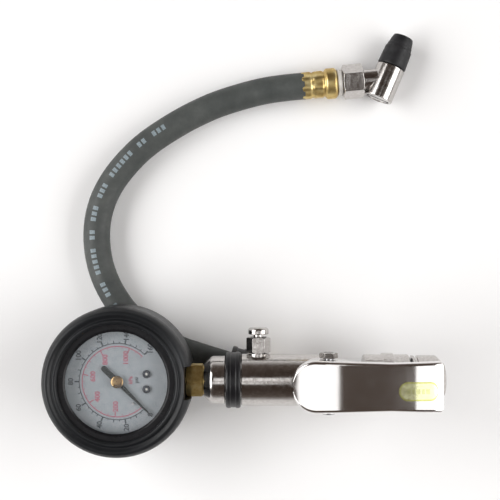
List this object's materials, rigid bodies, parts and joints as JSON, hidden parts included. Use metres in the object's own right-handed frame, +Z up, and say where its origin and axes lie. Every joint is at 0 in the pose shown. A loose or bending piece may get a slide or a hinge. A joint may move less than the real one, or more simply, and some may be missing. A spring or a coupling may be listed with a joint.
{
  "type": "tire pressure gauge",
  "caption": "Hand-held tyre inflator gauge: round dial gauge in a rubber boot, lever valve body with bleed button and threaded inlet, and a short hose with a swivelling tyre chuck.",
  "frame": {"origin": "On the plane the tool lies on, midway between the gauge head's far side and the inlet's end, on the body's axis", "axes": "+X along the body from the gauge head to the air inlet, +Z up out of the dial, +Y towards the bleed button and the chuck"},
  "size_m": [0.1808, 0.1958, 0.0602],
  "materials": {
    "chrome": "polished chrome plate",
    "brass": "machined",
    "steel": "plain turned steel",
    "blued_steel": "dark oxide",
    "bronze": "drawn phosphor bronze",
    "black_rubber": "moulded matt",
    "seal_rubber": "moulded",
    "hose_rubber": "extruded matt grey",
    "black_plastic": "satin",
    "black_paint": "satin",
    "clear_lens": "clear",
    "dial_white": "matt printed",
    "pointer_black": "matt",
    "pale_nylon": "moulded"
  },
  "bodies": {
    "body": {"barrel": "chrome", "bleed_body": "chrome", "bleed_spring": "steel", "body_band": "black_plastic", "bourdon_tube": "bronze", "case_screw_1": "steel", "case_screw_2": "steel", "chuck_body": "chrome", "chuck_nose": "black_rubber", "chuck_plug": "chrome", "chuck_seal": "seal_rubber", "chuck_spring": "steel", "dial_plate": "dial_white", "dial_screw_1": "blued_steel", "dial_screw_2": "blued_steel", "end_cap": "chrome", "ferrule": "brass", "ferrule_insert": "brass", "gauge_bezel": "black_paint", "gauge_boot": "black_rubber", "gauge_case": "steel", "gauge_lens": "clear_lens", "gauge_socket": "brass", "hairspring": "brass", "hose": "hose_rubber", "hose_collar": "black_plastic", "hose_elbow": "brass", "inlet_bushing": "chrome", "inlet_screen": "steel", "inlet_seal": "seal_rubber", "lever_nut": "chrome", "lever_pin": "steel", "movement_pillar_1": "brass", "movement_pillar_2": "brass", "movement_plate_back": "brass", "movement_plate_front": "brass", "plug_seal": "seal_rubber", "pointer_stop": "steel", "restrictor": "steel", "stem_gland": "brass", "stem_seal": "seal_rubber", "swivel_washer": "pale_nylon", "tube_tip": "bronze", "valve_housing": "chrome", "valve_plug": "chrome", "valve_spring": "steel"},
    "lever": {"lever": "chrome"},
    "valve_stem": {"valve_stem": "steel", "valve_poppet": "seal_rubber"},
    "bleed_button": {"bleed_button": "chrome", "bleed_seal": "seal_rubber"},
    "pointer": {"pointer": "pointer_black", "pointer_hub": "brass", "pinion_arbor": "steel"},
    "sector": {"sector_gear": "brass"},
    "link": {"link": "brass"},
    "swivel_nut": {"swivel_nut": "chrome"},
    "chuck_pin": {"chuck_pin": "brass"}
  },
  "joints": [
    {"name": "lever_pivot", "type": "hinge", "parent": "body", "child": "lever", "pos_m": [0.0369, 0, 0.05015], "axis": [0, 1, 0], "range_deg": [0, 8], "stiffness_Nm_per_rad": 1.2, "springref_deg": -3.09},
    {"name": "valve_slide", "type": "slide", "parent": "body", "child": "valve_stem", "axis": [0, 0, -1], "range_m": [0, 0.004], "deforming": ["valve_spring"]},
    {"name": "bleed_press", "type": "slide", "parent": "body", "child": "bleed_button", "axis": [0, -1, 0], "range_m": [0, 0.001], "stiffness_N_per_m": 1500, "springref_m": -0.0005},
    {"name": "sector_turn", "type": "hinge", "parent": "body", "child": "sector", "pos_m": [-0.0567, -0.0108, 0.02895], "axis": [0, 0, 1], "range_deg": [0, 33.75], "stiffness_Nm_per_rad": 0.002},
    {"name": "pointer_turn", "type": "hinge", "parent": "body", "child": "pointer", "pos_m": [-0.0567, 0, 0.02895], "axis": [0, 0, -1], "range_deg": [0, 270]},
    {"name": "link_swing", "type": "hinge", "parent": "sector", "child": "link", "pos_m": [-0.0606, -0.01305, 0.02895], "axis": [0, 0, 1], "range_deg": [-57, 0]},
    {"name": "nut_spin", "type": "hinge", "parent": "body", "child": "swivel_nut", "pos_m": [0.05159, 0.13928, 0.0083], "axis": [0.9957, 0.0924, 0], "continuous": true},
    {"name": "chuck_pin_slide", "type": "slide", "parent": "body", "child": "chuck_pin", "axis": [-0.3891, -0.9212, 0], "range_m": [0, 0.002], "stiffness_N_per_m": 800, "springref_m": -0.0008}
  ],
  "couplings": [
    {"joint": "valve_slide", "follows": "lever_pivot", "m_per_rad": 0.0279},
    {"joint": "pointer_turn", "follows": "sector_turn", "ratio": 8},
    {"joint": "link_swing", "follows": "sector_turn", "ratio": -1.65}
  ]
}
